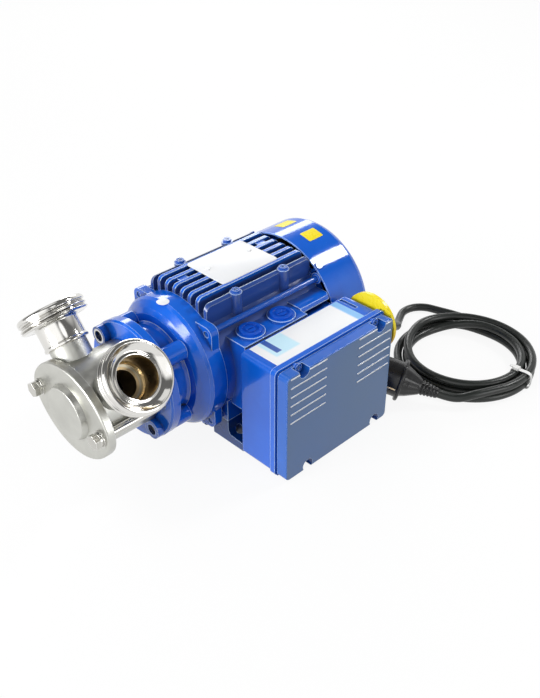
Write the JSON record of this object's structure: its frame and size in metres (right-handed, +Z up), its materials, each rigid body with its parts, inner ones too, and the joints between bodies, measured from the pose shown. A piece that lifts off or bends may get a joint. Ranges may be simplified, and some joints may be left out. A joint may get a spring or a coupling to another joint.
{
  "type": "flexible impeller pump with electric motor",
  "caption": "Self-priming flexible impeller transfer pump with two threaded ports, close-coupled to a finned foot-mounted motor with capacitor box, switch and mains cord.",
  "frame": {"origin": "centre of the four foot holes, on the ground", "axes": "+X along the shaft from the pump head to the fan cowl, +Z up, the capacitor box at -Y"},
  "size_m": [0.5011, 0.3026, 0.1697],
  "materials": {
    "blue_paint": "gloss",
    "lid_paint": "satin",
    "blasted_steel": "satin",
    "polished_steel": "polished",
    "bright_screws": "satin",
    "blue_screws": "gloss",
    "shaft_steel": "ground",
    "core_steel": "laminated",
    "copper": "varnished",
    "brass": "turned",
    "black_rubber": "matte",
    "cord_rubber": "satin",
    "black_plastic": "matte",
    "yellow_plastic": "gloss",
    "white_plastic": "matte",
    "blue_plastic": "gloss",
    "silver_plate": "satin",
    "can_aluminium": "satin",
    "seal_carbon": "lapped"
  },
  "bodies": {
    "unit": {"front_cover": "blasted_steel", "pump_body": "blasted_steel", "inlet_coupling": "polished_steel", "outlet_coupling": "polished_steel", "cover_oring": "black_rubber", "cover_bolts": "bright_screws", "cover_washers": "bright_screws", "adapter": "blue_paint", "adapter_screws": "bright_screws", "front_end_shield": "blue_paint", "motor_frame": "blue_paint", "rear_end_shield": "blue_paint", "tie_bolts": "blue_screws", "stator_core": "core_steel", "stator_windings": "copper", "seal_seat": "white_plastic", "front_bearing": "shaft_steel", "rear_bearing": "shaft_steel", "fan_cowl": "blue_paint", "foot_left": "blue_paint", "foot_right": "blue_paint", "foot_screws": "bright_screws", "terminal_box": "blue_paint", "lid_gasket": "black_rubber", "box_lid": "lid_paint", "lid_screws": "blue_screws", "throat_gasket": "black_rubber", "blanking_plugs": "blue_plastic", "name_plate": "silver_plate", "plate_rivets": "silver_plate", "box_label": "silver_plate", "frame_screws": "blue_screws", "cowl_screws": "blue_screws", "capacitor": "can_aluminium", "terminal_block": "black_plastic", "switch_base": "yellow_plastic", "cable_gland": "black_plastic", "gland_nut": "black_plastic", "cable_boot": "black_rubber", "cable": "cord_rubber", "cable_coil": "cord_rubber", "cable_tie": "white_plastic", "plug": "cord_rubber", "plug_pins": "brass"},
    "rotor": {"shaft": "shaft_steel", "impeller_hub": "brass", "impeller_key": "shaft_steel", "impeller": "black_rubber", "seal_rotary": "seal_carbon", "seal_spring": "bright_screws", "shaft_slinger": "black_rubber", "front_bearing_inner": "shaft_steel", "rear_bearing_inner": "shaft_steel", "rotor_core": "core_steel", "fan": "black_plastic", "fan_circlip": "bright_screws"},
    "switch": {"switch_knob": "black_plastic"}
  },
  "joints": [
    {"name": "shaft_turn", "type": "hinge", "parent": "unit", "child": "rotor", "pos_m": [0, 0, 0.08], "axis": [1, 0, 0], "continuous": true, "deforming": ["impeller"]},
    {"name": "switch_turn", "type": "hinge", "parent": "unit", "child": "switch", "pos_m": [0.0863, -0.11, 0.1], "axis": [1, 0, 0], "range_deg": [-60, 60]}
  ]
}
